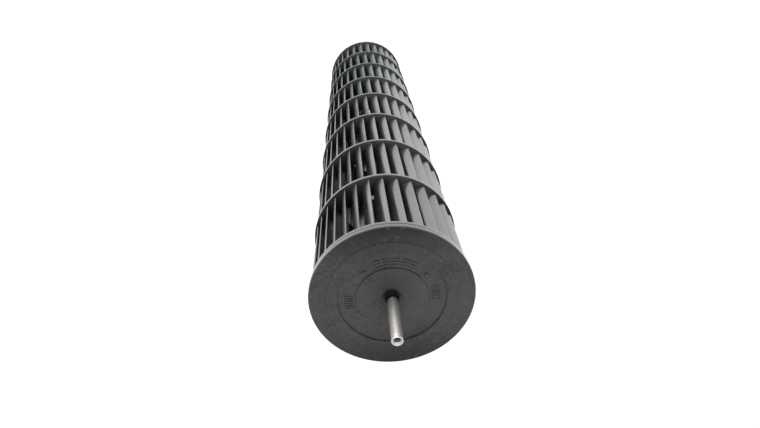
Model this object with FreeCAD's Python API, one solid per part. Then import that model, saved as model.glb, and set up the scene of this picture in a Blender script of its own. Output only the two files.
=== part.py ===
import FreeCAD, Part
import math
import os

# Cross flow fan rotor, in millimetres.
# It stands on its motor end: z = 0 is the rim of the motor end cap and the bearing shaft points up.
# Sections are counted from the shaft end down.

# Rotor body
rotor_diameter = 90.0
bay_count = 8
bay_pitch = 58.6

# Ring that closes the top of each blade section
ring_thickness = 2.6
ring_setback = 0.3
ring_outer_lip = 1.2
ring_inner_lip = 1.1
section_twist = 5.8

# Blades, bent like a scoop from a radial inner edge to a slanted outer edge
blades_per_section = 33
blade_depth = 10.4
blade_outer_angle = 27.0
blade_middle_thickness = 1.4
blade_edge_thickness = 0.85
blade_side_flats = 3
blade_skew = 1.06

# Uneven spacing of the blades, which keeps the rotor from humming on one note
first_blade_angle = 329.9
spacing_waves = 2
spacing_swing = 2.5
spacing_phase = 154.0

# Side on which the last section leaves one blade out, so that a driver reaches the set screw
access_side = 90.0

# Shaft end cap: a plate with shallow steps on its outer face
shaft_cap_rim = 3.4
shaft_cap_plate = 2.8
field_diameter = 71.0
field_height = 0.15
groove_outer_diameter = 59.0
groove_inner_diameter = 39.6
groove_depth = 0.75
collar_foot_diameter = 17.6
collar_shoulder_diameter = 12.4
collar_shoulder_height = 0.5
collar_diameter = 11.2
collar_height = 1.5
spigot_wall = 2.2
spigot_height = 2.2
spigot_clearance = 0.2
shaft_boss_diameter = 18.0
shaft_boss_end_wall = 2.5

# Steel bearing shaft, moulded into the cap
shaft_diameter = 6.0
shaft_reach = 33.0
shaft_embedded = 17.0
shaft_tip_bevel = 0.5
tail_diameter = 5.0
tail_above_collar = 0.3
centre_hole_diameter = 3.2
centre_hole_angle = 60.0

# Motor end cap: a rim with a cup that leaves room for the motor's nose
motor_cap_rim = 4.0
cup_mouth_setback = 1.5
cup_floor_diameter = 44.0
cup_depth = 12.0
cup_wall = 2.4

# Rubber bush that grips the cup floor, and the metal hub in it
grip_diameter = 28.0
bush_flange_diameter = 35.0
bush_flange_thickness = 4.0
hub_diameter = 17.0
hub_bore = 8.0
hub_length = 20.0
moulded_fit = 0.02

# Set screw that clamps the hub on the motor shaft
screw_diameter = 5.0
screw_length = 8.0
screw_tip_bevel = 0.6
screw_from_hub_end = 4.5
screw_clearance = 0.05
screw_tip_gap = 0.3
socket_width = 2.5
socket_depth = 3.0

rotor_radius = rotor_diameter / 2
shaft_radius = shaft_diameter / 2
ring_radius = rotor_radius - ring_setback
blade_outer_radius = ring_radius - ring_outer_lip
blade_inner_radius = blade_outer_radius - blade_depth
ring_bore_radius = blade_inner_radius - ring_inner_lip
sections_height = bay_count * bay_pitch
body_height = motor_cap_rim + sections_height + shaft_cap_rim
blade_length = bay_pitch - ring_thickness


def turned(outline):
    # A solid of revolution about the rotor's axis from (radius, height) points
    points = [FreeCAD.Vector(radius, 0, height) for radius, height in outline]
    wire = Part.makePolygon(points + points[:1])
    axis = FreeCAD.Vector(0, 0, 1)
    return Part.Face(wire).revolve(FreeCAD.Vector(0, 0, 0), axis, 360)


def on_circle(centre, radius, angle):
    turn = math.radians(angle)
    return centre + FreeCAD.Vector(radius * math.cos(turn), radius * math.sin(turn), 0)


def blade_bend():
    # Radius of the arc that the blade's middle line follows
    slant = math.radians(blade_outer_angle)
    across = blade_outer_radius ** 2 - blade_inner_radius ** 2
    return across / (2 * blade_outer_radius * math.cos(slant))


def blade_lean():
    # How far round the rotor the outer edge lies from the inner edge, in degrees
    reach = math.hypot(blade_inner_radius, blade_bend())
    squares = blade_outer_radius ** 2 + blade_inner_radius ** 2
    spread = math.acos(squares / (2 * blade_outer_radius * reach))
    return math.degrees(math.atan2(blade_bend(), blade_inner_radius) - spread)


def blade_side(edge_offset, middle_offset):
    # One side of the blade as flats along its arc, offset from the middle line.
    # The inner edge lies on the x axis, at 90 degrees on the arc, and runs straight outwards there.
    centre = FreeCAD.Vector(blade_inner_radius, -blade_bend(), 0)
    outer_edge = on_circle(FreeCAD.Vector(0, 0, 0), blade_outer_radius, -blade_lean()) - centre
    last_turn = math.degrees(math.atan2(outer_edge.y, outer_edge.x))
    points = []
    for step in range(blade_side_flats + 1):
        part = step / blade_side_flats
        offset = edge_offset + (middle_offset - edge_offset) * math.sin(math.pi * part)
        turn = 90.0 + (last_turn - 90.0) * part
        points.append(on_circle(centre, blade_bend() + offset, turn))
    return points


def blade_profile():
    # Crescent section, thickest at mid blade, with its outer edge on the x axis
    edge = blade_edge_thickness / 2
    middle = blade_middle_thickness / 2
    back = blade_side(edge, middle)
    hollow = blade_side(-edge, -middle)
    profile = Part.Face(Part.makePolygon(back + hollow[::-1] + back[:1]))
    profile.rotate(FreeCAD.Vector(0, 0, 0), FreeCAD.Vector(0, 0, 1), blade_lean())
    return profile


def blade_angle(index):
    # Place of a blade's outer edge round the section, counterclockwise from above
    even = 360.0 * index / blades_per_section
    swing = spacing_swing * math.sin(math.radians(spacing_waves * even - spacing_phase))
    return first_blade_angle + even + swing


def section_ring():
    return turned([
        (ring_bore_radius, 0),
        (ring_radius, 0),
        (ring_radius, -ring_thickness),
        (ring_bore_radius, -ring_thickness),
    ])


def blade_section(left_out=None):
    # One moulding: a ring with its blades hanging below it, ring top at z = 0.
    # The foot of each blade lies a little further round than its root.
    profile = blade_profile()
    profile.translate(FreeCAD.Vector(0, -blade_skew / 2, -ring_thickness))
    blade = profile.extrude(FreeCAD.Vector(0, blade_skew, -blade_length))
    blades = []
    for index in range(blades_per_section):
        if index == left_out:
            continue
        copy = blade.copy()
        copy.rotate(FreeCAD.Vector(0, 0, 0), FreeCAD.Vector(0, 0, 1), blade_angle(index))
        blades.append(copy)
    return section_ring().fuse(blades).removeSplitter()


def section_turn(number):
    # Each section is turned a little against the one above it
    return (number - 1) * section_twist


def place_section(shape, number):
    placed = shape.copy()
    placed.rotate(FreeCAD.Vector(0, 0, 0), FreeCAD.Vector(0, 0, 1), section_turn(number))
    top = motor_cap_rim + (bay_count - number + 1) * bay_pitch
    placed.translate(FreeCAD.Vector(0, 0, top))
    return placed


def screw_angle():
    # The screw faces the place of the blade that is left out of the last section
    return blade_angle(access_blade()) + section_turn(bay_count) + blade_lean() / 2


def access_blade():
    # The blade nearest to the back of the rotor
    def distance(index):
        place = blade_angle(index) + section_turn(bay_count)
        return abs((place - access_side + 180.0) % 360.0 - 180.0)
    return min(range(blades_per_section), key=distance)


def shaft_end_cap():
    # Heights are measured from the rim's outer face, at z = 0
    field = field_height
    groove = field - groove_depth
    back = -shaft_cap_rim
    plate = field - shaft_cap_plate
    spigot = ring_bore_radius - spigot_clearance
    bore = tail_diameter / 2 + moulded_fit
    bore_end = -shaft_embedded - moulded_fit
    return turned([
        (0, bore_end - shaft_boss_end_wall),
        (shaft_boss_diameter / 2, bore_end - shaft_boss_end_wall),
        (shaft_boss_diameter / 2, plate),
        (spigot - spigot_wall, plate),
        (spigot - spigot_wall, back - spigot_height),
        (spigot, back - spigot_height),
        (spigot, back),
        (rotor_radius, back),
        (rotor_radius, 0),
        (field_diameter / 2, 0),
        (field_diameter / 2, field),
        (groove_outer_diameter / 2, field),
        (groove_outer_diameter / 2, groove),
        (groove_inner_diameter / 2, groove),
        (groove_inner_diameter / 2, field),
        (collar_foot_diameter / 2, field),
        (collar_shoulder_diameter / 2, field + collar_shoulder_height),
        (collar_diameter / 2, field + collar_height),
        (bore, field + collar_height),
        (bore, bore_end),
        (0, bore_end),
    ])


def bearing_shaft():
    # A ground journal above a slimmer tail, which the cap's collar and boss are moulded round
    tail_top = field_height + collar_height + tail_above_collar
    hole = centre_hole_diameter / 2
    hole_depth = hole / math.tan(math.radians(centre_hole_angle / 2))
    return turned([
        (0, -shaft_embedded),
        (tail_diameter / 2, -shaft_embedded),
        (tail_diameter / 2, tail_top),
        (shaft_radius, tail_top),
        (shaft_radius, shaft_reach - shaft_tip_bevel),
        (shaft_radius - shaft_tip_bevel, shaft_reach),
        (hole, shaft_reach),
        (0, shaft_reach - hole_depth),
    ])


def motor_end_cap():
    mouth = ring_bore_radius - cup_mouth_setback
    floor = cup_floor_diameter / 2
    run_in = (mouth - floor) / cup_depth
    wall_across = cup_wall * math.hypot(1, run_in)
    floor_top = cup_depth + cup_wall
    return turned([
        (rotor_radius, 0),
        (mouth, 0),
        (floor, cup_depth),
        (grip_diameter / 2, cup_depth),
        (grip_diameter / 2, floor_top),
        (mouth - run_in * floor_top + wall_across, floor_top),
        (mouth - run_in * motor_cap_rim + wall_across, motor_cap_rim),
        (rotor_radius, motor_cap_rim),
    ])


def bush_heights():
    # Bottom and top of the rubber, outside its two flanges
    bottom = cup_depth - moulded_fit - bush_flange_thickness
    top = cup_depth + cup_wall + moulded_fit + bush_flange_thickness
    return bottom, top


def rubber_bush():
    bottom, top = bush_heights()
    hub = hub_diameter / 2 + moulded_fit
    groove = grip_diameter / 2 - moulded_fit
    flange = bush_flange_diameter / 2
    return turned([
        (hub, bottom),
        (flange, bottom),
        (flange, bottom + bush_flange_thickness),
        (groove, bottom + bush_flange_thickness),
        (groove, top - bush_flange_thickness),
        (flange, top - bush_flange_thickness),
        (flange, top),
        (hub, top),
    ])


def hub_top():
    # The hub starts level with the rubber and reaches up past it to carry the screw
    return bush_heights()[0] + hub_length


def screw_axis(shape):
    # Lays a shape made along +z, starting at the origin, along the screw's axis
    shape.rotate(FreeCAD.Vector(0, 0, 0), FreeCAD.Vector(0, 1, 0), 90)
    shape.rotate(FreeCAD.Vector(0, 0, 0), FreeCAD.Vector(0, 0, 1), screw_angle())
    shape.translate(FreeCAD.Vector(0, 0, hub_top() - screw_from_hub_end))
    return shape


def hub_core():
    wall = hub_diameter / 2
    bore = hub_bore / 2
    bottom = bush_heights()[0]
    body = turned([(bore, bottom), (wall, bottom), (wall, hub_top()), (bore, hub_top())])
    hole = Part.makeCylinder(screw_diameter / 2 + screw_clearance, hub_diameter)
    return body.cut(screw_axis(hole))


def set_screw():
    start = hub_bore / 2 + screw_tip_gap
    radius = screw_diameter / 2
    end = start + screw_length
    body = turned([
        (0, start), (radius - screw_tip_bevel, start), (radius, start + screw_tip_bevel),
        (radius, end), (0, end),
    ])
    corner = socket_width / math.sqrt(3)
    corners = [on_circle(FreeCAD.Vector(0, 0, end), corner, 60 * step) for step in range(7)]
    socket = Part.Face(Part.makePolygon(corners)).extrude(FreeCAD.Vector(0, 0, -socket_depth))
    return screw_axis(body.cut(socket))


def build():
    parts = {}
    for name, shape in (("shaft_end_cap", shaft_end_cap()), ("bearing_shaft", bearing_shaft())):
        shape.translate(FreeCAD.Vector(0, 0, body_height))
        parts[name] = shape
    whole = blade_section()
    for number in range(1, bay_count):
        parts["blade_section_%d" % number] = place_section(whole, number)
    last = blade_section(left_out=access_blade())
    parts["blade_section_%d" % bay_count] = place_section(last, bay_count)
    parts["motor_end_cap"] = motor_end_cap()
    parts["rubber_bush"] = rubber_bush()
    parts["hub_core"] = hub_core()
    parts["set_screw"] = set_screw()
    return parts


os.makedirs("parts", exist_ok=True)
for name, shape in build().items():
    print(name, shape.isValid(), len(shape.Solids), round(shape.Volume, 1))
    shape.exportStep("parts/" + name + ".step")
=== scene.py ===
import math
import bpy
from mathutils import Matrix, Vector


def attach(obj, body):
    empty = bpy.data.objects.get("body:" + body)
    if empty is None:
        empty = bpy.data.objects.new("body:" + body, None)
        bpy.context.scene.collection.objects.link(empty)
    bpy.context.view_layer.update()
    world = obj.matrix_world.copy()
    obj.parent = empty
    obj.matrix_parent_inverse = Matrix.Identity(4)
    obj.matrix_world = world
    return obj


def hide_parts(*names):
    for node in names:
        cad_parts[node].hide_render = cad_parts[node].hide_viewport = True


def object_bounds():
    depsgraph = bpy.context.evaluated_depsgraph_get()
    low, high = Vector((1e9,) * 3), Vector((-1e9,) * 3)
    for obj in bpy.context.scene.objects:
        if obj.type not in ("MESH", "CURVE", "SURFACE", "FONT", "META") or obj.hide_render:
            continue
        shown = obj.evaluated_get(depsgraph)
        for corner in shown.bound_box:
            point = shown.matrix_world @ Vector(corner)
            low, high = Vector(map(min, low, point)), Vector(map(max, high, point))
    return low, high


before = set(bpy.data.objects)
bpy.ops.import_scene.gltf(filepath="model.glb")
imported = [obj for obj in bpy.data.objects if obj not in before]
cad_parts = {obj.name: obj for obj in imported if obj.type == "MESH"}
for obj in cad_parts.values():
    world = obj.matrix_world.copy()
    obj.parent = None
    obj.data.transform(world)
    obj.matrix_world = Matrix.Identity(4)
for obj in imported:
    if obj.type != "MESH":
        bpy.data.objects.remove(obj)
cadLow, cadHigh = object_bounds()
mm = 0.001
# what the pieces share, in millimetres and degrees, with heights from the floor:
# rimPlane is the cap's rim at the shaft end, lowestTop the ring's top of the last section
drum = dict(radius=45.0, rimPlane=476.2, sections=8, pitch=58.6, lowestTop=62.6, twist=5.8)
print("frame loaded,", len(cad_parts), "nodes")


# shader sums: a socket that takes part in ordinary expressions

class Link:
    def __init__(self, recipe, socket):
        self.recipe = recipe
        self.socket = socket

    def sum(self, operation, first, second):
        return self.recipe.node("ShaderNodeMath", dict(operation=operation), [first, second])

    def __add__(self, other): return self.sum("ADD", self, other)
    def __radd__(self, other): return self.sum("ADD", other, self)
    def __sub__(self, other): return self.sum("SUBTRACT", self, other)
    def __rsub__(self, other): return self.sum("SUBTRACT", other, self)
    def __mul__(self, other): return self.sum("MULTIPLY", self, other)
    def __rmul__(self, other): return self.sum("MULTIPLY", other, self)
    def __or__(self, other): return self.sum("MAXIMUM", self, other)


class Recipe:
    # one material: its nodes are made by a single method

    def __init__(self, name, rough, metal=0.0, others={}):
        self.material = bpy.data.materials.new(name)
        self.material.use_nodes = True
        self.tree = self.material.node_tree
        self.shader = self.tree.nodes["Principled BSDF"]
        for socket, value in {"Roughness": rough, "Metallic": metal, **others}.items():
            self.shader.inputs[socket].default_value = value

    def node(self, kind, settings, values, output=0):
        made = self.tree.nodes.new(kind)
        for key, value in settings.items():
            if key == "stops":
                self.fillRamp(made.color_ramp, value)
            else:
                setattr(made, key, value)
        pairs = values.items() if isinstance(values, dict) else enumerate(values)
        for key, value in pairs:
            if isinstance(value, Link):
                self.tree.links.new(value.socket, made.inputs[key])
            else:
                made.inputs[key].default_value = value
        return Link(self, made.outputs[output])

    def fillRamp(self, ramp, stops):
        while len(ramp.elements) < len(stops):
            ramp.elements.new(0.5)
        for element, (place, level) in zip(ramp.elements, stops):
            element.position = place
            element.color = (level, level, level, 1)

    def feed(self, socket, link):
        self.tree.links.new(link.socket, self.shader.inputs[socket])

    def point(self):
        return self.node("ShaderNodeTexCoord", {}, {}, "Object")

    def place(self, stretch=(1, 1, 1)):
        return self.node("ShaderNodeMapping", {}, {"Vector": self.point(), "Scale": stretch})

    def along(self, axis):
        return self.node("ShaderNodeSeparateXYZ", {}, {"Vector": self.point()}, axis)

    def noise(self, where, size, detail, roughness=0.55):
        values = {"Vector": where, "Scale": size, "Detail": detail, "Roughness": roughness}
        return self.node("ShaderNodeTexNoise", {}, values, "Fac")

    def patches(self, where, size, detail, start, full):
        # noise made into patches, none up to the level start and one from the level full
        return self.ramp(self.noise(where, size, detail), (start, 0.0), (full, 1.0))

    def specks(self, where, size, core, edge):
        away = self.node("ShaderNodeTexVoronoi", {}, {"Vector": where, "Scale": size}, "Distance")
        return self.ramp(away, (core, 1.0), (edge, 0.0))

    def within(self, centre, inner, outer):
        # one inside the inner radius about an upright axis, falling to none at the outer one
        flat = self.node("ShaderNodeVectorMath", dict(operation="MULTIPLY"), [self.point(), (1, 1, 0)])
        middle = (centre[0] * mm, centre[1] * mm, 0)
        away = self.node("ShaderNodeVectorMath", dict(operation="DISTANCE"), [flat, middle], "Value")
        # the outer radius lies in the middle of the ramp
        return self.ramp(away * (0.5 / (outer * mm)), (0.5 * inner / outer, 1.0), (0.5, 0.0))

    def ramp(self, value, *stops):
        return self.node("ShaderNodeValToRGB", dict(stops=stops), {"Fac": value})

    def mix(self, amount, first, second):
        # sockets 6 and 7 are the colours of the Mix node
        values = {"Factor": amount, 6: first, 7: second}
        return self.node("ShaderNodeMix", dict(data_type="RGBA"), values, 2)

    def bump(self, height, strength, depth):
        values = {"Height": height, "Strength": strength, "Distance": depth * mm}
        self.feed("Normal", self.node("ShaderNodeBump", {}, values))

    def seen(self):
        # one where the camera looks, straight, by a mirror or through glass
        rays = [self.node("ShaderNodeLightPath", {}, {}, "Is %s Ray" % kind)
                for kind in ("Camera", "Glossy", "Transmission")]
        return rays[0] | rays[1] | rays[2]


class RoomRecipe(Recipe):
    def __init__(self, world):
        world.use_nodes = True
        self.tree = world.node_tree
        self.shader = self.tree.nodes["Background"]


def grey(level, tint=(1, 1, 1)):
    return tuple(level * part for part in tint) + (1,)


# moulded plastic: patches are a noise size, its detail, and the levels where they start and are full

plastic = dict(
    flow=(160, 3, 0.35, 0.7), fine=(700, 3, 0.36, 0.64),
    patch=(45, 2, 0.48, 0.62), rubs=(120, 2, 0.6, 0.72), scuffRough=0.15,
    specks=(230, 0.03, 0.075),  # dust: how fine, and where in its cell a speck starts to fade and ends
    lightCastFade=2.0,  # painted colour cast of the light, greener at the far end, fades out over half a metre
    bandLift=0.5, grain=(2600, 2), grainBump=(0.1, 0.04),
    coat={"Coat Roughness": 0.2, "Coat IOR": 1.85})
# blend: shares of mottle, flow and fine; band: how far the face is paler across its middle;
# paintedShadeRadii: radii between which the outer faces turn glossy, the dull faces inside being painted
# shade; footShadeGloss: the gloss that is left at the foot, a painted shade on the far end
bladeLook = dict(
    deep=0.006, pale=0.026, nearLightTint=(1.2, 0.88, 0.95), farLightTint=(0.8, 1.7, 1.2),
    mottle=(60, 4, 0.4, 0.62), streak=(1, 1, 0.05), blend=(0.45, 0.35, 0.2), band=0.0,
    rough=0.36, roughSwing=0.1, shine=0.3, paintedShadeRadii=(35.5, 41.0), footShadeGloss=0.3,
    dust=0.25, dusty=0.2, scuff=0.16, scuffed=0.2, rub=(6, 6, 0.6))
capLook = dict(
    deep=0.0, pale=0.077, nearLightTint=(1.03, 0.99, 0.98), farLightTint=(0.95, 1.03, 0.99),
    mottle=(46, 4, 0.4, 0.62), streak=(1, 1, 1), blend=(0.35, 0.2, 0.5), band=1.0,
    rough=0.4, roughSwing=0.14, shine=0.3, paintedShadeRadii=(44.5, 44.75), footShadeGloss=1.0,
    dust=0.3, dusty=0.8, scuff=0.15, scuffed=0.35, rub=(2, 3, 1))
# painted shade round the shaft's foot and a fainter, wider painted shadow, both set off to one side: centre,
# full and faded radius
shaftShade = dict(tone=0.006, collarShade=((0.3, -3.2), 3.6, 6.8), metal=0.9,
                  shadowHalo=((0.3, -6.0), 4.0, 17.0), faint=0.5)
# painted shade: the rings' upper faces are kept dull: first height, and how far from it the gloss starts and
# is full
ringTopShade = dict(first=4.0, dull=0.12, full=0.35)


def plasticFinish(name, look, paintedShade=None, topShade=None):
    recipe = Recipe(name, look["rough"], others={"Specular IOR Level": look["shine"], **plastic["coat"]})
    where = recipe.place()
    mottle = recipe.patches(where, *look["mottle"])
    flow = recipe.patches(recipe.place(look["streak"]), *plastic["flow"])
    fine = recipe.patches(where, *plastic["fine"])
    coarse, medium, small = look["blend"]
    shade = mottle * coarse + flow * medium + fine * small
    across = recipe.along("Y") * (1 / (drum["radius"] * mm))
    banded = (1.0 - across * across) * (shade + plastic["bandLift"])
    shade = shade * (1 - look["band"]) + banded * look["band"]
    # painted colour cast of the light: the colour is tinted one way at the far end and another at the near
    # end
    farColour, nearColour = [recipe.mix(shade, grey(look["deep"], look[tint]), grey(look["pale"], look[tint]))
                             for tint in ("farLightTint", "nearLightTint")]
    colour = recipe.mix(recipe.along("Z") * plastic["lightCastFade"], farColour, nearColour)
    patch = recipe.patches(where, *plastic["patch"])
    rubs = recipe.patches(recipe.place(look["rub"]), *plastic["rubs"])
    scuff = rubs * patch * look["scuffed"]
    colour = recipe.mix(scuff, colour, grey(look["scuff"]))
    dust = recipe.specks(where, *plastic["specks"])
    colour = recipe.mix(dust * patch * look["dusty"], colour, grey(look["dust"]))
    # painted shade: the gloss coat fades towards the foot so that the far end reflects less, and is taken off
    # inside the given radii so that the inner faces stay dark
    fromFoot = recipe.along("Z") * (1 / (drum["rimPlane"] * mm))
    gloss = look["footShadeGloss"] + (1 - look["footShadeGloss"]) * fromFoot
    coat = (1.0 - recipe.within((0, 0), *look["paintedShadeRadii"])) * gloss
    # painted shade: the rings' upper faces get no gloss coat
    if topShade:
        away = recipe.node("ShaderNodeMath", dict(operation="PINGPONG"),
                           [recipe.along("Z") - topShade["first"] * mm, drum["pitch"] * mm / 2])
        coat = coat * recipe.ramp(away * (1 / mm), (topShade["dull"], 0.0), (topShade["full"], 1.0))
    recipe.feed("Coat Weight", coat)
    if paintedShade:
        # painted shade: round the shaft's foot the base turns near black and metallic so that it reflects
        # little, with a fainter painted shadow further out
        collarShade = recipe.within(*paintedShade["collarShade"])
        shadowHalo = recipe.within(*paintedShade["shadowHalo"]) * paintedShade["faint"]
        colour = recipe.mix(collarShade | shadowHalo, colour, grey(paintedShade["tone"]))
        recipe.feed("Metallic", collarShade * paintedShade["metal"])
    recipe.feed("Base Color", colour)
    recipe.feed("Roughness", look["rough"] + look["roughSwing"] * shade + scuff * plastic["scuffRough"])
    recipe.bump(recipe.noise(where, *plastic["grain"]), *plastic["grainBump"])
    return recipe.material


# turned steel: grooves round the piece from stretched noise, and smears

steel = dict(tint=(1, 0.99, 0.94), turned=(0.02, 0.02, 1), turnedDetail=(2, 0.7), smear=(220, 3),
             darkest=0.85, leastRough=0.85, smearRough=0.3, turnedRough=0.04, grooveDepth=0.02)
# painted reflection bands: places across the shaft in the direction of x, each with its tone
shaftLook = dict(
    tone=0.95, rough=0.36, metal=0.6, rings=2600, grooves=0.03, width=6.0,
    reflectionBands=((0.04, 0.25), (0.2, 0.1), (0.42, 0.7), (0.54, 1.0), (0.7, 0.5), (0.96, 0.3)),
    bandShadeTone=0.42, wander=0.3, wanderSize=(900, 2), wanderAlong=(1, 1, 0.1),
    tipFrom=508.8, tipFade=0.25, tipTone=0.72, bore=(1.6, 1.8), boreShadeTone=0.04)
hubLook = dict(tone=0.6, rough=0.32, metal=1.0, rings=5000, grooves=0.1)
screwLook = dict(tone=0.12, rough=0.4, metal=1.0, rings=4000, grooves=0.1)


def paintShaftReflection(recipe, look, colour):
    # painted reflection: bright and dark bands along the shaft, then a bright tip, and painted shade in the
    # centre hole
    wander = recipe.noise(recipe.place(look["wanderAlong"]), *look["wanderSize"]) * look["wander"]
    across = recipe.along("X") * (1 / (look["width"] * mm)) + 0.5
    reflectionBands = recipe.ramp(across + (wander - look["wander"] / 2), *look["reflectionBands"])
    colour = recipe.mix(reflectionBands, grey(look["tone"] * look["bandShadeTone"], steel["tint"]), colour)
    aboveTip = (recipe.along("Z") - look["tipFrom"] * mm) * (1 / mm)
    tip = recipe.ramp(aboveTip, (0.0, 0.0), (look["tipFade"], 1.0))
    colour = recipe.mix(tip, colour, grey(look["tipTone"]))
    # painted shade: the centre hole is darkened
    return recipe.mix(recipe.within((0, 0), *look["bore"]), colour, grey(look["boreShadeTone"]))


def steelFinish(name, look):
    tone, rough, tint = look["tone"], look["rough"], steel["tint"]
    recipe = Recipe(name, rough, look["metal"])
    turned = recipe.noise(recipe.place(steel["turned"]), look["rings"], *steel["turnedDetail"])
    smear = recipe.noise(recipe.place(), *steel["smear"])
    colour = recipe.mix(smear, grey(tone * steel["darkest"], tint), grey(tone, tint))
    # the shaft gets painted reflection bands and a painted shade in its centre hole
    if "reflectionBands" in look:
        colour = paintShaftReflection(recipe, look, colour)
    recipe.feed("Base Color", colour)
    recipe.feed("Roughness", rough * steel["leastRough"] + rough * steel["smearRough"] * smear
                + steel["turnedRough"] * turned)
    recipe.bump(turned, look["grooves"], steel["grooveDepth"])
    return recipe.material


rubberLook = dict(deep=0.014, pale=0.035, bloom=(140, 4, 0.4, 0.7), rough=0.75, leastRough=0.62,
                  roughSwing=0.25, grain=(1800, 2), grainBump=(0.2, 0.05))


def rubberFinish(name, look):
    recipe = Recipe(name, look["rough"])
    where = recipe.place()
    bloom = recipe.patches(where, *look["bloom"])
    recipe.feed("Base Color", recipe.mix(bloom, grey(look["deep"]), grey(look["pale"])))
    recipe.feed("Roughness", look["leastRough"] + look["roughSwing"] * bloom)
    recipe.bump(recipe.noise(where, *look["grain"]), *look["grainBump"])
    return recipe.material


sectionPlastic = plasticFinish("sectionPlastic", bladeLook, topShade=ringTopShade)
capPlastic = plasticFinish("capPlastic", capLook, paintedShade=shaftShade)
groundSteel = steelFinish("groundSteel", shaftLook)
hubMetal = steelFinish("hubMetal", hubLook)
blackSteel = steelFinish("blackSteel", screwLook)
bushRubber = rubberFinish("bushRubber", rubberLook)
print("finishes made")

nodeFinish = {"bearing_shaft": groundSteel, "hub_core": hubMetal, "set_screw": blackSteel,
              "rubber_bush": bushRubber}
for nodeName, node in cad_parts.items():
    node.data.materials.clear()
    finish = capPlastic if nodeName.endswith("cap") else sectionPlastic
    node.data.materials.append(nodeFinish.get(nodeName, finish))


# modelling by hand: a point is drawn out into a line, and the line is spun

def makeActive(piece):
    bpy.ops.object.select_all(action="DESELECT")
    piece.select_set(True)
    bpy.context.view_layer.objects.active = piece


def applyPlace():
    bpy.ops.object.transform_apply(location=True, rotation=True, scale=True)


def startPoint(name, place):
    bpy.ops.object.select_all(action="DESELECT")
    bpy.ops.mesh.primitive_plane_add(size=mm, location=place)
    piece = bpy.context.object
    piece.name = piece.data.name = name
    applyPlace()
    bpy.ops.object.mode_set(mode="EDIT")
    bpy.ops.mesh.select_mode(type="VERT")
    bpy.ops.mesh.select_all(action="SELECT")
    bpy.ops.mesh.merge(type="CENTER")
    return piece


def drawOn(points):
    for start, end in zip(points, points[1:]):
        step = Vector(end) - Vector(start)
        bpy.ops.mesh.extrude_region_move(TRANSFORM_OT_translate=dict(value=step))


def weldAll(gap=0.002):
    bpy.ops.mesh.select_all(action="SELECT")
    bpy.ops.mesh.remove_doubles(threshold=gap * mm)
    bpy.ops.mesh.select_all(action="SELECT")


def spinAll(steps, angle=2 * math.pi, centre=(0, 0, 0)):
    weldAll()
    bpy.ops.mesh.spin(steps=steps, angle=angle, center=centre, axis=(0, 0, 1))
    weldAll()


def roundCorners(outline, steps=3):
    # a corner given as (radius, height, cut) is rounded, starting cut millimetres before it
    rounded = []
    for index, (radius, height, *cut) in enumerate(outline):
        corner = Vector((radius, height))
        if not cut:
            rounded.append(corner)
            continue
        before = Vector(outline[index - 1][:2]) - corner
        after = Vector(outline[(index + 1) % len(outline)][:2]) - corner
        start = corner + before.normalized() * cut[0]
        end = corner + after.normalized() * cut[0]
        for step in range(steps + 1):
            part = step / steps
            rounded.append(start.lerp(corner, part).lerp(corner.lerp(end, part), part))
    return rounded


def turnedPiece(name, outline, steps, lift=0.0):
    # outline: closed (radius, height) points in millimetres, or open with both ends on the axis
    points = [Vector((radius * mm, 0, (height + lift) * mm)) for radius, height in roundCorners(outline)]
    onAxis = outline[0][0] == 0 and outline[-1][0] == 0
    piece = startPoint(name, points[0])
    drawOn(points if onAxis else points + points[:1])
    spinAll(steps)
    bpy.ops.mesh.normals_make_consistent(inside=False)
    bpy.ops.object.mode_set(mode="OBJECT")
    return piece


def applyModifier(piece, kind, **settings):
    makeActive(piece)
    added = piece.modifiers.new(kind.lower(), kind)
    for key, value in settings.items():
        setattr(added, key, value)
    bpy.ops.object.modifier_apply(modifier=added.name)


def turnCopy(source, name, turn=0.0, lift=0.0):
    makeActive(source)
    bpy.ops.object.duplicate()
    copy = bpy.context.object
    copy.name = copy.data.name = name
    copy.rotation_euler.z = math.radians(turn)
    copy.location.z = lift * mm
    applyPlace()
    return copy


def joinPieces(name, pieces):
    bpy.ops.object.select_all(action="DESELECT")
    for piece in pieces:
        piece.select_set(True)
    bpy.context.view_layer.objects.active = pieces[0]
    bpy.ops.object.join()
    whole = bpy.context.object
    whole.name = whole.data.name = name
    return whole


def dropPiece(piece):
    makeActive(piece)
    bpy.ops.object.delete()


slack = 0.05  # how near a point or a face's middle has to be to a height, in millimetres


def selectPoints(piece, wanted):
    # wanted(place) is asked for each point, in millimetres
    bpy.ops.object.mode_set(mode="OBJECT")
    mesh = piece.data
    for part in (mesh.edges, mesh.polygons):
        part.foreach_set("select", [False] * len(part))
    for point in mesh.vertices:
        point.select = wanted(point.co / mm)
    bpy.ops.object.mode_set(mode="EDIT")
    bpy.ops.mesh.select_mode(type="VERT")


def selectFaces(piece, wanted):
    # wanted(radius, angle, height) is asked for each face's middle, in millimetres and degrees
    makeActive(piece)
    bpy.ops.object.mode_set(mode="EDIT")
    bpy.ops.mesh.select_mode(type="FACE")  # set first, or faces between selected ones come along
    bpy.ops.mesh.select_all(action="DESELECT")
    bpy.ops.object.mode_set(mode="OBJECT")
    for face in piece.data.polygons:
        x, y, z = face.center / mm
        angle = math.degrees(math.atan2(y, x)) % 360
        face.select = bool(wanted(math.hypot(x, y), angle, z))
    bpy.ops.object.mode_set(mode="EDIT")


def pressFaces(inset, depth):
    # the selected faces are framed by inset and pushed in, or out where depth is negative
    bpy.ops.mesh.inset(thickness=inset * mm, depth=-depth * mm)
    bpy.ops.object.mode_set(mode="OBJECT")


def apart(first, second):
    # how far one angle is from another, in degrees, the short way round
    return abs((first - second + 180) % 360 - 180)


def near(angle, places, half):
    return any(apart(angle, place) < half for place in places)


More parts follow.
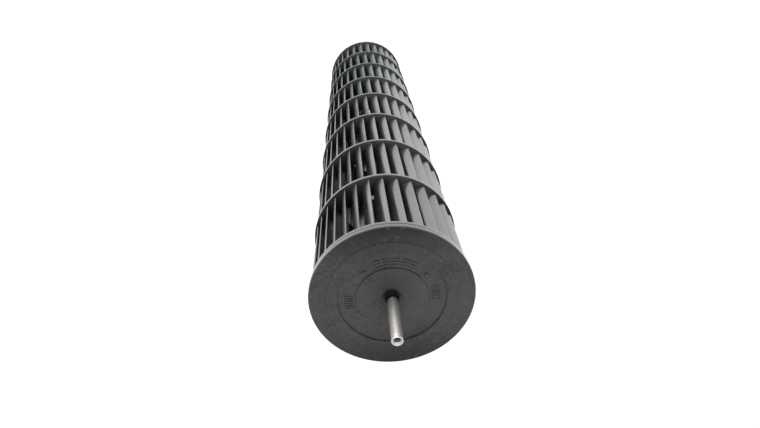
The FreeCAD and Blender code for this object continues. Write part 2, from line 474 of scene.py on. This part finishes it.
def dressPiece(piece, finish, nodeName, smooth=32):
    makeActive(piece)
    piece.data.materials.clear()
    piece.data.materials.append(finish)
    bpy.ops.object.shade_smooth_by_angle(angle=math.radians(smooth))
    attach(piece, "root")
    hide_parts(nodeName)


# blade sections, each a ring with bent blades below it

ring = dict(radius=44.7, bore=32.0, thickness=2.6, edge=0.45, steps=168)
# root is the blade's end at its ring and foot the other one; Edge and Middle are thicknesses there
blade = dict(count=33, innerRadius=33.1, outerRadius=43.5, slant=27.0, steps=8, skew=1.06, sunk=0.1,
             rootEdge=1.05, rootMiddle=1.6, footEdge=0.65, footMiddle=1.2, edgeRound=0.26, edgeAngle=50,
             thinnest=0.2,  # share of the full thickness where the vertex group is zero
             rootFlare=0.3, rootHeight=0.75, flareSteps=((1, 0), (0.35, 0.4), (0, 1)))
spacing = dict(first=329.9, waves=2, swing=2.5, phase=154.0, accessSide=90.0)


def bladeBend():
    across = blade["outerRadius"] ** 2 - blade["innerRadius"] ** 2
    return across / (2 * blade["outerRadius"] * math.cos(math.radians(blade["slant"])))


def bladeLean():
    bend, inner, outer = bladeBend(), blade["innerRadius"], blade["outerRadius"]
    spread = math.acos((outer ** 2 + inner ** 2) / (2 * outer * math.hypot(inner, bend)))
    return math.atan2(bend, inner) - spread


def bladeSweep():
    # how far the blade's middle line turns round its own centre
    outer, lean, bend = blade["outerRadius"], bladeLean(), bladeBend()
    across = outer * math.cos(lean) - blade["innerRadius"]
    along = bend - outer * math.sin(lean)
    return math.pi / 2 - math.atan2(along, across)


def makeBlade():
    bend, inner = bladeBend(), blade["innerRadius"]
    top = -ring["thickness"] + blade["sunk"]
    foot = -drum["pitch"]
    piece = startPoint("bladePattern", (inner * mm, 0, top * mm))
    drawOn([(0, 0, top * mm), (0, 0, foot * mm)])
    spinAll(blade["steps"], bladeSweep(), (inner * mm, -bend * mm, 0))  # a spin turns clockwise
    bpy.ops.object.mode_set(mode="OBJECT")
    markThickness(piece, Vector((inner, -bend, 0)) * mm)
    piece.rotation_euler.z = bladeLean()
    makeActive(piece)
    applyPlace()
    for height, shift in ((top, -blade["skew"] / 2), (foot, blade["skew"] / 2)):
        selectPoints(piece, lambda place: abs(place.z - height) < slack)
        bpy.ops.transform.translate(value=(0, shift * mm, 0))
        bpy.ops.object.mode_set(mode="OBJECT")
    applyModifier(piece, "SOLIDIFY", thickness=blade["rootMiddle"] * mm, offset=0, vertex_group="thickness",
                  thickness_vertex_group=blade["thinnest"])
    applyModifier(piece, "BEVEL", width=blade["edgeRound"] * mm, segments=1, limit_method="ANGLE",
                  angle_limit=math.radians(blade["edgeAngle"]), use_clamp_overlap=True)
    flareRoot(piece)
    piece.vertex_groups.clear()
    return piece


def markThickness(piece, centre):
    # crescent across the blade, and thinner towards the foot so that it leaves its mould
    group = piece.vertex_groups.new(name="thickness")
    for point in piece.data.vertices:
        turn = math.pi / 2 - math.atan2(point.co.y - centre.y, point.co.x - centre.x)
        swell = math.sin(math.pi * min(1, max(0, turn / bladeSweep())))
        end = "foot" if point.co.z < -0.5 * drum["pitch"] * mm else "root"
        thick = blade[end + "Edge"] + (blade[end + "Middle"] - blade[end + "Edge"]) * swell
        share = thick / blade["rootMiddle"]
        group.add([point.index], (share - blade["thinnest"]) / (1 - blade["thinnest"]), "REPLACE")


def flareRoot(piece):
    # the blade widens in steps where it runs into its ring
    makeActive(piece)
    bpy.ops.object.mode_set(mode="EDIT")
    for drop, widen in blade["flareSteps"]:
        height = -ring["thickness"] - blade["rootHeight"] * drop
        bpy.ops.mesh.select_all(action="SELECT")
        bpy.ops.mesh.bisect(plane_co=(0, 0, height * mm), plane_no=(0, 0, 1))
        bpy.ops.transform.shrink_fatten(value=blade["rootFlare"] * widen * mm)
    bpy.ops.object.mode_set(mode="OBJECT")


def bladeAngle(index):
    even = 360.0 * index / blade["count"]
    swing = spacing["swing"] * math.sin(math.radians(spacing["waves"] * even - spacing["phase"]))
    return spacing["first"] + even + swing


def accessBlade():
    # the blade nearest the back in the last section, left out for the screwdriver
    lastTurn = (drum["sections"] - 1) * drum["twist"]

    def fromBack(index):
        return apart(bladeAngle(index) + lastTurn, spacing["accessSide"])
    return min(range(blade["count"]), key=fromBack)


def makeRing():
    bore, radius, thickness, edge = ring["bore"], ring["radius"], ring["thickness"], ring["edge"]
    outline = [(bore, 0, edge), (radius, 0, edge), (radius, -thickness, edge), (bore, -thickness, edge)]
    return turnedPiece("ringPattern", outline, ring["steps"])


def makeSection(name, bladePattern, ringPattern, leftOut=None):
    parts = [turnCopy(ringPattern, "ring")]
    for index in range(blade["count"]):
        if index != leftOut:
            parts.append(turnCopy(bladePattern, "blade", bladeAngle(index)))
    return joinPieces(name, parts)


def makeSections():
    bladePattern, ringPattern = makeBlade(), makeRing()
    whole = makeSection("wholeSection", bladePattern, ringPattern)
    last = makeSection("lastSection", bladePattern, ringPattern, accessBlade())
    for number in range(1, drum["sections"] + 1):
        source = last if number == drum["sections"] else whole
        lift = drum["lowestTop"] + (drum["sections"] - number) * drum["pitch"]
        section = turnCopy(source, "bladeSection%d" % number, (number - 1) * drum["twist"], lift)
        dressPiece(section, sectionPlastic, "blade_section_%d" % number)
    for pattern in (bladePattern, ringPattern, whole, last):
        dropPiece(pattern)


makeSections()
print("blade sections made")


# shaft end cap, heights from the plane of its rim

endCap = dict(rim=3.4, rimDrop=0.1, seam=44.0, seamHeight=0.8, field=35.5, fieldRise=0.15,
              grooveOuter=29.5, grooveInner=19.8, grooveFloor=-0.6, line=0.3, scratch=0.12,
              foot=8.8, shoulder=6.2, shoulderRise=0.65, collar=5.6, collarRise=1.65,
              back=-2.65, spigot=31.8, spigotInner=29.6, spigotEnd=-5.6, boss=9.0, bossEnd=-19.52,
              sink=3.7, sinkDepth=0.7, bore=2.52, boreEnd=-17.02, steps=192)
# raised marks in the groove: arcs, rows of short ribs and single bars, by angle and half width
grooveMarks = dict(inner=21.4, band=0.9, bands=5, edge=0.06, rise=0.6,
                   arcs=((285, 273, 261, 249, 237), 4.4), rows=((358, 182), 12), bars=((308, 215), 3.4))


def raiseMarks(piece, floorHeight):
    marks, faceWidth = grooveMarks, 360 / endCap["steps"]

    def band(radius):
        return (radius - marks["inner"]) // marks["band"]

    kinds = dict(arcs=lambda radius, angle: band(radius) % 2 == 0,
                 rows=lambda radius, angle: angle // faceWidth % 2 == 0,
                 bars=lambda radius, angle: band(radius) in (1, 2))
    for kind, chosen in kinds.items():
        places, half = marks[kind]
        selectFaces(piece, lambda radius, angle, height: abs(height - floorHeight) < slack
                    and 0 <= band(radius) < marks["bands"] and near(angle, places, half)
                    and chosen(radius, angle))
        pressFaces(marks["edge"], -marks["rise"])


def makeEndCap():
    cap, marks = endCap, grooveMarks
    rise, floor, face = cap["fieldRise"], cap["grooveFloor"], -cap["rimDrop"]
    cut, scratch, seamTop = floor - cap["line"], face - cap["scratch"], cap["seamHeight"] - cap["rim"]
    fieldLine = cap["field"] + cap["line"]
    outerLine, innerLine = cap["grooveOuter"] - cap["line"], cap["grooveInner"] + cap["line"]
    outline = [
        (0, cap["bossEnd"]), (cap["boss"], cap["bossEnd"], 0.8), (cap["boss"], cap["back"], 1.2),
        (cap["spigotInner"], cap["back"], 0.8), (cap["spigotInner"], cap["spigotEnd"], 0.3),
        (cap["spigot"], cap["spigotEnd"], 0.5), (cap["spigot"], -cap["rim"]),
        (cap["seam"], -cap["rim"]), (cap["seam"], seamTop),
        (drum["radius"], seamTop, 0.15), (drum["radius"], face, 0.22),
        (fieldLine, face, 0.05), (fieldLine, scratch), (cap["field"], scratch), (cap["field"], rise, 0.08),
        (cap["grooveOuter"], rise, 0.1), (cap["grooveOuter"], cut),
        (outerLine, cut), (outerLine, floor, 0.05),
        *[(marks["inner"] + marks["band"] * number, floor) for number in range(marks["bands"], -1, -1)],
        (innerLine, floor, 0.05), (innerLine, cut),
        (cap["grooveInner"], cut), (cap["grooveInner"], rise, 0.1),
        (cap["foot"], rise, 1.6), (cap["shoulder"], cap["shoulderRise"], 0.5),
        (cap["collar"], cap["collarRise"], 0.3), (cap["sink"], cap["collarRise"], 0.1),
        (cap["bore"], cap["collarRise"] - cap["sinkDepth"], 0.1), (cap["bore"], cap["boreEnd"]),
        (0, cap["boreEnd"]),
    ]
    piece = turnedPiece("shaftEndCap", outline, cap["steps"], drum["rimPlane"])
    raiseMarks(piece, drum["rimPlane"] + floor)
    dressPiece(piece, capPlastic, "shaft_end_cap", smooth=25)


makeEndCap()
print("shaft end cap made")


# bearing shaft, heights from the same plane

journal = dict(radius=3.0, reach=33.0, bevel=0.2, start=1.95, tail=2.5, tailEnd=-17.0, mouth=2.4,
               mouthDepth=1.2, hole=1.75, holeDepth=2.77, pilot=0.6, pilotDepth=2.2, steps=72)


def makeShaft():
    bar = journal
    outline = [
        (0, bar["tailEnd"]), (bar["tail"], bar["tailEnd"], 0.3), (bar["tail"], bar["start"]),
        (bar["radius"], bar["start"], 0.2), (bar["radius"], bar["reach"] - bar["bevel"], 0.05),
        (bar["radius"] - bar["bevel"], bar["reach"], 0.05),
        (bar["mouth"], bar["reach"], 0.05), (bar["hole"], bar["reach"] - bar["mouthDepth"], 0.1),
        (bar["pilot"], bar["reach"] - bar["pilotDepth"]), (bar["pilot"], bar["reach"] - bar["holeDepth"]),
        (0, bar["reach"] - bar["holeDepth"]),
    ]
    piece = turnedPiece("bearingShaft", outline, bar["steps"], drum["rimPlane"])
    dressPiece(piece, groundSteel, "bearing_shaft")


makeShaft()
print("bearing shaft made")


# motor end cap: a rim with a ribbed cup, heights from the floor

cup = dict(rim=4.0, mouth=30.5, floor=22.0, depth=12.0, floorTop=14.4, grip=14.0,
           outerFloor=23.24, outerRim=30.61, grooveOuter=42.0, grooveInner=36.0, grooveDepth=0.5,
           ribs=8, ribHalf=1.5, ribEdge=0.12, ribHeight=0.9, ribLow=1.6, ribHigh=11.0, steps=192)


def coneRadius(height):
    return cup["mouth"] + (cup["floor"] - cup["mouth"]) * height / cup["depth"]


def makeMotorCap():
    outline = [
        (drum["radius"], 0, 0.5), (cup["grooveOuter"], 0, 0.1), (cup["grooveOuter"], cup["grooveDepth"], 0.2),
        (cup["grooveInner"], cup["grooveDepth"], 0.2), (cup["grooveInner"], 0, 0.1),
        (cup["mouth"], 0, 0.5), (coneRadius(cup["ribLow"]), cup["ribLow"]),
        (coneRadius(cup["ribHigh"]), cup["ribHigh"]), (cup["floor"], cup["depth"], 0.8),
        (cup["grip"], cup["depth"], 0.15),
        (cup["grip"], cup["floorTop"], 0.15), (cup["outerFloor"], cup["floorTop"], 1.0),
        (cup["outerRim"], cup["rim"], 0.5), (drum["radius"], cup["rim"], 0.3),
    ]
    piece = turnedPiece("motorEndCap", outline, cup["steps"])
    places = [360 * number / cup["ribs"] for number in range(cup["ribs"])]
    ribMiddle = (cup["ribLow"] + cup["ribHigh"]) / 2
    selectFaces(piece, lambda radius, angle, height: abs(height - ribMiddle) < slack
                and near(angle, places, cup["ribHalf"]))
    pressFaces(cup["ribEdge"], -cup["ribHeight"])
    dressPiece(piece, capPlastic, "motor_end_cap", smooth=25)


makeMotorCap()
print("motor end cap made")


# rubber bush with six pockets in each flange

bush = dict(bore=8.52, flange=17.5, groove=13.98, bottom=7.98, gripLow=11.98, gripHigh=14.42, top=18.42,
            pocketInner=10.8, pocketOuter=15.2, pockets=6, pocketHalf=19, pocketEdge=0.35, pocketLip=0.25,
            pocketDepth=1.4, steps=96)


def makeBush():
    outline = [
        (bush["bore"], bush["bottom"], 0.3), (bush["pocketInner"], bush["bottom"]),
        (bush["pocketOuter"], bush["bottom"]), (bush["flange"], bush["bottom"], 0.8),
        (bush["flange"], bush["gripLow"], 0.6), (bush["groove"], bush["gripLow"], 0.2),
        (bush["groove"], bush["gripHigh"], 0.2), (bush["flange"], bush["gripHigh"], 0.6),
        (bush["flange"], bush["top"], 0.8), (bush["pocketOuter"], bush["top"]),
        (bush["pocketInner"], bush["top"]), (bush["bore"], bush["top"], 0.3),
    ]
    piece = turnedPiece("rubberBush", outline, bush["steps"])
    places = [360 * (number + 0.5) / bush["pockets"] for number in range(bush["pockets"])]
    for flangeFace in (bush["bottom"], bush["top"]):
        selectFaces(piece, lambda radius, angle, height: abs(height - flangeFace) < slack
                    and bush["pocketInner"] < radius < bush["pocketOuter"]
                    and near(angle, places, bush["pocketHalf"]))
        pressFaces(bush["pocketEdge"], bush["pocketLip"])
        bpy.ops.object.mode_set(mode="EDIT")
        bpy.ops.mesh.extrude_region_shrink_fatten(
            TRANSFORM_OT_shrink_fatten=dict(value=-bush["pocketDepth"] * mm))
        bpy.ops.object.mode_set(mode="OBJECT")
    dressPiece(piece, bushRubber, "rubber_bush", smooth=28)


makeBush()
print("rubber bush made")


# floor, lights and camera, in metres; glow is what the camera and mirrors see

studio = dict(floorSize=8.0, floorDrop=0.1 * mm, floorTone=0.8, floorDark=0.98, floorCloud=(3, 2),
              floorRough=0.9, floorGlow=0.9, roomLight=0.05, roomGlow=0.95, aim=0.24)
keyLamp = dict(place=(0.36, -1.03, 0.0), size=(0.9, 0.9), power=20.0, tint=(1.0, 0.96, 0.97))
topLamp = dict(place=(-0.04, -0.38, 1.42), size=(0.6, 0.6), power=8.0, tint=(1.0, 1.0, 1.0))


def floorFinish():
    recipe = Recipe("floorPaint", studio["floorRough"], others={"Emission Strength": 1.0})
    cloud = recipe.noise(recipe.place(), *studio["floorCloud"])
    tone = studio["floorTone"]
    recipe.feed("Base Color", recipe.mix(cloud, grey(tone * studio["floorDark"]), grey(tone)))
    recipe.feed("Emission Color", recipe.mix(recipe.seen(), grey(0), grey(studio["floorGlow"])))
    return recipe.material


def addLamp(name, place, size, power, tint):
    bpy.ops.object.light_add(type="AREA", location=place)
    lamp = bpy.context.object
    lamp.name = name
    lamp.data.shape = "RECTANGLE"
    lamp.data.size, lamp.data.size_y = size
    lamp.data.energy = power
    lamp.data.color = tint
    towards = Vector((0, 0, studio["aim"])) - Vector(place)
    lamp.rotation_euler = towards.to_track_quat("-Z", "Y").to_euler()
    lamp.visible_camera = False


def setStudio():
    bpy.ops.object.select_all(action="DESELECT")
    underneath = cadLow.z - studio["floorDrop"]
    bpy.ops.mesh.primitive_plane_add(size=studio["floorSize"], location=(0, 0, underneath))
    floor = bpy.context.object
    floor.name = "studioFloor"
    floor.data.materials.append(floorFinish())
    world = bpy.data.worlds.new("softRoom")
    bpy.context.scene.world = world
    room = RoomRecipe(world)
    room.feed("Color", room.mix(room.seen(), grey(studio["roomLight"]), grey(studio["roomGlow"])))
    addLamp("keyLight", **keyLamp)
    addLamp("topLight", **topLamp)


cameraPlace = dict(
    fromFace=(0.0035, -0.1774, 0.2291),  # seen from the centre of the cap's rim plane
    looking=(-0.0049, 0.4788, -0.8779),
    upwards=(-0.0995, -0.8738, -0.4760),  # the picture's top points down the rotor
    lens=25.33, sensor=36, nearest=0.01,
)


def setCamera():
    eye = Vector(cameraPlace["fromFace"]) + Vector((0, 0, drum["rimPlane"] * mm))
    back = -Vector(cameraPlace["looking"]).normalized()
    right = Vector(cameraPlace["upwards"]).cross(back).normalized()
    up = back.cross(right)
    bpy.ops.object.camera_add()
    camera = bpy.context.object
    turn = Matrix((right, up, back)).transposed()
    camera.matrix_world = Matrix.Translation(eye) @ turn.to_4x4()
    camera.data.lens = cameraPlace["lens"]
    camera.data.sensor_width = cameraPlace["sensor"]
    camera.data.clip_start = cameraPlace["nearest"]
    bpy.context.scene.camera = camera
    bpy.context.scene.view_settings.view_transform = "Standard"


setStudio()
setCamera()
print("studio set")
